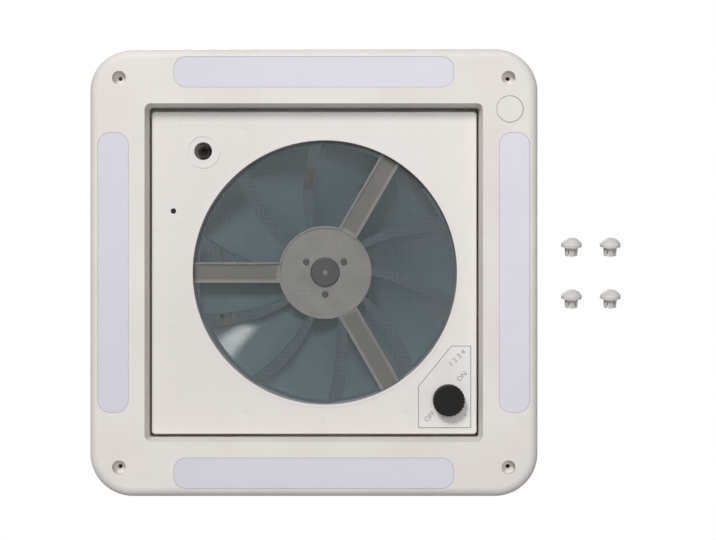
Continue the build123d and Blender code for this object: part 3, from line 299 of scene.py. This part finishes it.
def smokedSheet(name, look):
    # Clear tinted sheet whose surface covers more and more towards a slant
    material, tree = newMaterial(name)
    point = objectPoint(tree)
    smear = noiseOf(tree, point, look["smearMm"], **smearNoise)
    rough = ramp(tree, smear, *wideEdges, look["gloss"], look["matt"])
    wave = bumpOf(tree, noiseOf(tree, point, look["waveMm"], **waveNoise), look["waveDepthMm"])
    body = addNode(tree, "BsdfPrincipled", {"Base Color": linear(look["body"]), "Roughness": rough,
                                            "Normal": wave}).outputs["BSDF"]
    slant = addNode(tree, "Fresnel", {"IOR": look["ior"]}).outputs["Fac"]
    cover = ramp(tree, slant, 0, 1, look["cover"], 1)
    finishSurface(tree, mixSurfaces(tree, cover, clearSheet(tree, look["tint"]), body))
    return material


# Glass-fibre insect screen: square weave of grey coated threads
meshLook = {"colour": "666D70", "gloss": 0.5, "matt": 0.65, "yarnMm": 4,
            "pitchMm": 1.5, "threadMm": 0.28}


def weaveOf(tree, coordinate, look):
    # 1 on a thread that runs across this coordinate, 0 in a gap
    part = mathOf(tree, "FRACT", mathOf(tree, "MULTIPLY", coordinate, 1 / (look["pitchMm"] * mm)))
    return mathOf(tree, "LESS_THAN", part, look["threadMm"] / look["pitchMm"])


def wovenScreen(name, look):
    # Threads both ways, and nothing between them
    material, tree = newMaterial(name)
    point = objectPoint(tree)
    axes = addNode(tree, "SeparateXYZ", {"Vector": point}).outputs
    thread = largest(tree, [weaveOf(tree, axes["X"], look), weaveOf(tree, axes["Y"], look)])
    yarn = noiseOf(tree, point, look["yarnMm"])
    rough = ramp(tree, yarn, *wideEdges, look["gloss"], look["matt"])
    body = addNode(tree, "BsdfPrincipled", {"Base Color": linear(look["colour"]),
                                            "Roughness": rough}).outputs["BSDF"]
    finishSurface(tree, mixSurfaces(tree, thread, clearSheet(tree), body))
    return material


finishes = {
    "cover_white": moulded("asa-spark-grain-white", trimLook),
    "panel_white": moulded("abs-moulded-white", panelLook),
    "lens_opal": moulded("polycarbonate-opal", lensLook),
    "smoked_lid": smokedSheet("polycarbonate-smoked", smokedLook),
    "fan_plastic": moulded("san-glossy-slate", fanLook),
    "seal_foam": moulded("foam-closed-cell-black", foamLook),
    "screen_mesh": wovenScreen("glass-fibre-woven-grey", meshLook),
    "plated_steel": rolledMetal("steel-zinc-plated", zincLook),
    "bracket_steel": rolledMetal("steel-galvanised-sheet", bracketLook),
    "motor_steel": rolledMetal("steel-dark-zinc", motorLook),
    "gear_brass": rolledMetal("brass-turned", brassLook),
    "housing_nylon": moulded("polyamide-glass-filled", nylonLook),
    "knob_black": moulded("polyamide-black-moulded", knobLook),
    "label_film": moulded("polyester-film-printed", labelLook),
    "board_white": moulded("aluminium-lacquered-white", boardLook),
    "switch_black": moulded("polyamide-black-switch", switchLook),
    "cap_white": moulded("polypropylene-moulded-white", capLook),
}
ink = moulded("ink-screen-printed-grey", inkLook)
# The worm spindle takes the darkened brass: painted shade down the crank hole
paintedShadeBrass = rolledMetal("brass-painted-shade", paintedShadeSpindleLook)
for part in frame["record"]["subparts"]:
    node = part["node"]
    mesh = nodes[node].data
    mesh.materials.clear()
    mesh.materials.append(paintedShadeBrass if node == "crank_spindle" else finishes[part["material_slot"]])
print("materials set:", len(finishes))

# Edges that turn by more than this stay sharp, in degrees
creaseAngle = 40


def fullTurn(steps):
    return np.arange(steps) * 2 * math.pi / steps


def ringFaces(rings, steps):
    # Quads between closed rings of points that are counted ring by ring
    i, j = np.meshgrid(np.arange(rings - 1), np.arange(steps), indexing="ij")
    here, there, nextJ = i * steps, (i + 1) * steps, (j + 1) % steps
    return np.stack([here + j, there + j, there + nextJ, here + nextJ], -1).reshape(-1, 4)


def joined(parts):
    # Several (points, faces) as one
    points, faces, start = [], [], 0
    for somePoints, someFaces in parts:
        points.append(np.asarray(somePoints, float))
        faces += [tuple(int(k) + start for k in face) for face in someFaces]
        start += len(somePoints)
    return np.concatenate(points), faces


def newPiece(name, parts, material):
    points, faces = joined(parts)
    mesh = bpy.data.meshes.new(name)
    mesh.from_pydata(points.tolist(), [], faces)
    mesh.validate()
    mesh.materials.append(material)
    piece = bpy.data.objects.new(name, mesh)
    scene.collection.objects.link(piece)
    mesh.shade_smooth()
    mesh.set_sharp_from_angle(angle=math.radians(creaseAngle))
    return piece


# Woven screen: a disc in the ring's seat that ripples a little, with the weave in its material
screenPiece = {"rings": 24, "steps": 192, "centreShare": 0.002, "sagMm": 0.25, "waves": 5}


def makeScreen():
    settings = screenPiece
    radius = (screenHigh.x - screenLow.x) / 2
    height = (screenLow.z + screenHigh.z) / 2
    share = np.linspace(settings["centreShare"], 1, settings["rings"])[:, None]
    angles = fullTurn(settings["steps"])
    ripple = np.sin(share * math.pi) * np.cos(settings["waves"] * angles) * settings["sagMm"] * mm
    points = np.stack([fanX + share * radius * np.cos(angles), share * radius * np.sin(angles),
                       height + ripple], -1).reshape(-1, 3)
    faces = ringFaces(settings["rings"], settings["steps"])
    piece = newPiece("screen_cloth", [(points, faces)], finishes["screen_mesh"])
    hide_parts("insect_screen")
    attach(piece, "frame")


makeScreen()
print("screen made")

# Print on the control label: a border along its edge, plain numbers and the words on and off
# Places are shares of the label's width and length
labelPrint = {"cornerX": 0.6186, "cornerY": 0.4912, "insetMm": 0.5, "lineMm": 0.9, "liftMm": 0.03,
              "turnDegrees": 45, "curveSteps": 3,
              "marks": [{"text": "1 2 3 4", "x": 0.735, "y": 0.156, "sizeMm": 8.6},
                        {"text": "ON", "x": 0.822, "y": 0.378, "sizeMm": 8.4},
                        {"text": "OFF", "x": 0.225, "y": 0.858, "sizeMm": 8.4},
                        {"text": "0", "x": 0.882, "y": 0.842, "sizeMm": 5.0}]}


def insetOutline(points, inset):
    # Convex anticlockwise outline moved inwards: its sides shift along their normals and meet again
    sides = np.roll(points, -1, 0) - points
    sides /= np.linalg.norm(sides, axis=1)[:, None]
    inward = np.stack([-sides[:, 1], sides[:, 0]], -1)
    before = np.roll(inward, 1, 0)
    reach = (before + inward) / (1 + (before * inward).sum(1))[:, None]
    return points + reach * inset


def labelText(words, place, size, height):
    # Flat letters read from below: across runs to +X turned by the angle, up runs to -Y
    curve = bpy.data.curves.new("words", "FONT")
    curve.body = words
    curve.size = size
    curve.align_x = curve.align_y = "CENTER"
    curve.resolution_u = labelPrint["curveSteps"]
    holder = bpy.data.objects.new("words", curve)
    scene.collection.objects.link(holder)
    bpy.context.view_layer.update()
    depsgraph = bpy.context.evaluated_depsgraph_get()
    flat = bpy.data.meshes.new_from_object(holder.evaluated_get(depsgraph))
    own = np.empty(len(flat.vertices) * 3)
    flat.vertices.foreach_get("co", own)
    own = own.reshape(-1, 3)
    angle = math.radians(labelPrint["turnDegrees"])
    x = place[0] + own[:, 0] * math.cos(angle) - own[:, 1] * math.sin(angle)
    y = place[1] - own[:, 0] * math.sin(angle) - own[:, 1] * math.cos(angle)
    faces = [tuple(face.vertices) for face in flat.polygons]
    bpy.data.objects.remove(holder)
    bpy.data.curves.remove(curve)
    bpy.data.meshes.remove(flat)
    return np.stack([x, y, np.full(len(x), height)], -1), faces


def makeLabelPrint():
    settings = labelPrint
    wide, long = labelHigh.x - labelLow.x, labelHigh.y - labelLow.y
    outline = np.array([
        (labelLow.x, labelHigh.y),
        (labelLow.x, labelLow.y + settings["cornerY"] * long),
        (labelLow.x + settings["cornerX"] * wide, labelLow.y),
        (labelHigh.x, labelLow.y),
        (labelHigh.x, labelHigh.y),
    ])
    outer = insetOutline(outline, settings["insetMm"] * mm)
    inner = insetOutline(outline, (settings["insetMm"] + settings["lineMm"]) * mm)
    height = labelLow.z - settings["liftMm"] * mm
    border = np.concatenate([outer, inner])
    border = np.concatenate([border, np.full((len(border), 1), height)], 1)
    # The rings run anticlockwise seen from above, and outer comes first, so the faces look down
    parts = [(border, ringFaces(2, len(outer)))]
    for mark in settings["marks"]:
        place = (labelLow.x + mark["x"] * wide, labelLow.y + mark["y"] * long)
        parts.append(labelText(mark["text"], place, mark["sizeMm"] * mm, height))
    piece = newPiece("label_print", parts, ink)
    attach(piece, "frame")


makeLabelPrint()
print("label printed")

# Lamps below for the room side, and above for the sky side, so that every side is lit alike
lampTable = {
    "key": {"place": (-1.2, -3.0, 4.6), "side": 1.5, "watts": 190},
    "fill": {"place": (0.7, -0.5, 5.2), "side": 2.2, "watts": 66},
    "rim": {"place": (0.3, 3.0, 2.6), "side": 1.8, "watts": 7},
}


def addLamp(name, place, side, watts):
    data = bpy.data.lights.new(name, "AREA")
    data.shape = "SQUARE"
    data.size = side
    data.energy = watts
    lamp = bpy.data.objects.new(name, data)
    scene.collection.objects.link(lamp)
    lamp.location = place
    lamp.rotation_mode = "QUATERNION"
    lamp.rotation_quaternion = (-Vector(place)).to_track_quat("-Z", "Y")


for name, lamp in lampTable.items():
    x, y, z = lamp["place"]
    addLamp(name + "-room", (x, y, -z), lamp["side"], lamp["watts"])
    addLamp(name + "-sky", (x, y, z), lamp["side"], lamp["watts"])
print("lamps placed:", 2 * len(lampTable))

# Surroundings: plain pale light, and white behind the object
worldLook = {"colour": "FFFFFF", "ambient": 0.18, "seen": 1.0}


def seenRays(tree):
    # 1 for what the camera sees, straight or in gloss and glass, 0 for light that falls on things
    rays = addNode(tree, "LightPath").outputs
    kinds = ("Is Camera Ray", "Is Glossy Ray", "Is Transmission Ray")
    return largest(tree, [rays[kind] for kind in kinds])


def makeWorld():
    world = bpy.data.worlds.new("studio")
    scene.world = world
    world.use_nodes = True
    tree = world.node_tree
    tree.nodes.clear()
    strength = ramp(tree, seenRays(tree), 0, 1, worldLook["ambient"], worldLook["seen"])
    background = addNode(tree, "Background", {"Color": linear(worldLook["colour"]),
                                              "Strength": strength})
    addNode(tree, "OutputWorld", {"Surface": background.outputs["Background"]})


makeWorld()
print("surroundings made")

# Floor: a pale paper disc under the object that fades into the white, unseen from beneath
floorLook = {"colour": "EDEBE8", "shade": "E9E7E4", "blotchMm": 300,
             "radius": 2.2, "fadeFrom": 0.75, "fadeTo": 1.9, "steps": 96}


def makeFloor():
    settings = floorLook
    material, tree = newMaterial("paper-pale-backdrop")
    point = objectPoint(tree)
    away = vectorOf(tree, "LENGTH", "Value", flatPoint(tree, point))
    fade = ramp(tree, away, settings["fadeFrom"], settings["fadeTo"], 1, 0)
    tone = twoTones(tree, noiseOf(tree, point, settings["blotchMm"]), settings)
    paper = addNode(tree, "BsdfDiffuse", {"Color": tone}).outputs["BSDF"]
    under = addNode(tree, "NewGeometry").outputs["Backfacing"]
    above = mathOf(tree, "SUBTRACT", 1, under)
    cover = mathOf(tree, "MULTIPLY", mathOf(tree, "MULTIPLY", seenRays(tree), above), fade)
    finishSurface(tree, mixSurfaces(tree, cover, clearSheet(tree), paper))
    radius, steps = settings["radius"], settings["steps"]
    angles = fullTurn(steps)
    edge = np.stack([radius * np.cos(angles), radius * np.sin(angles),
                     np.full(steps, trimFace)], -1)
    floor = newPiece("floor", [(edge, [tuple(range(steps))])], material)


makeFloor()
print("floor made")

# Camera under the vent, looking up, with the hinges towards the top of the picture
# Places on the photograph are in pixels, the lens is in millimetres and its far limit in metres
photo = {"width": 716, "centreX": 358, "centreY": 270, "originX": 313.75, "originY": 272.5,
         "mmPerPixel": 1.158}
lens = {"length": 100, "sensorWidth": 36, "farLimit": 20}


def makeCamera():
    pixel = photo["mmPerPixel"] * mm
    data = bpy.data.cameras.new("camera")
    data.lens = lens["length"]
    data.sensor_width = lens["sensorWidth"]
    data.clip_end = lens["farLimit"]
    camera = bpy.data.objects.new("camera", data)
    scene.collection.objects.link(camera)
    distance = photo["width"] * pixel * lens["length"] / lens["sensorWidth"]
    camera.location = ((photo["centreX"] - photo["originX"]) * pixel,
                       (photo["centreY"] - photo["originY"]) * pixel, trimFace - distance)
    camera.rotation_euler = (math.pi, 0, 0)
    scene.camera = camera


makeCamera()
print("camera placed")
scene.view_settings.view_transform = "Standard"
